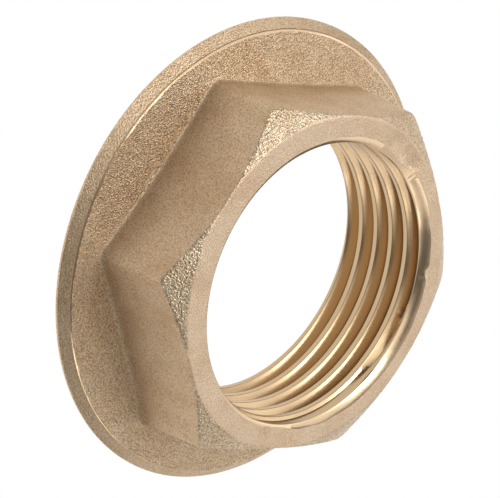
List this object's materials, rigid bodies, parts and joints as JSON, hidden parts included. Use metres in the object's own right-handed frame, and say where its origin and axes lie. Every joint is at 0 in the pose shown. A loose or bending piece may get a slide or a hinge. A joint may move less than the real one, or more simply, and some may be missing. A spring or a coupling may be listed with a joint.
{
  "type": "flanged backnut",
  "caption": "Round-flanged hexagon backnut in cast brass, with a female parallel pipe thread through it and a turned bearing face.",
  "frame": {"origin": "centre of the flange's bearing face, on the thread's axis", "axes": "+Z along the thread's axis, from the bearing face to the hexagon's front face; +X square to one of the flats"},
  "size_m": [0.0406, 0.0406, 0.0095],
  "materials": {
    "cast_brass": "as-cast, sand-grained, with a turned bore and bearing face"
  },
  "bodies": {
    "root": {"backnut": "cast_brass"}
  },
  "joints": []
}
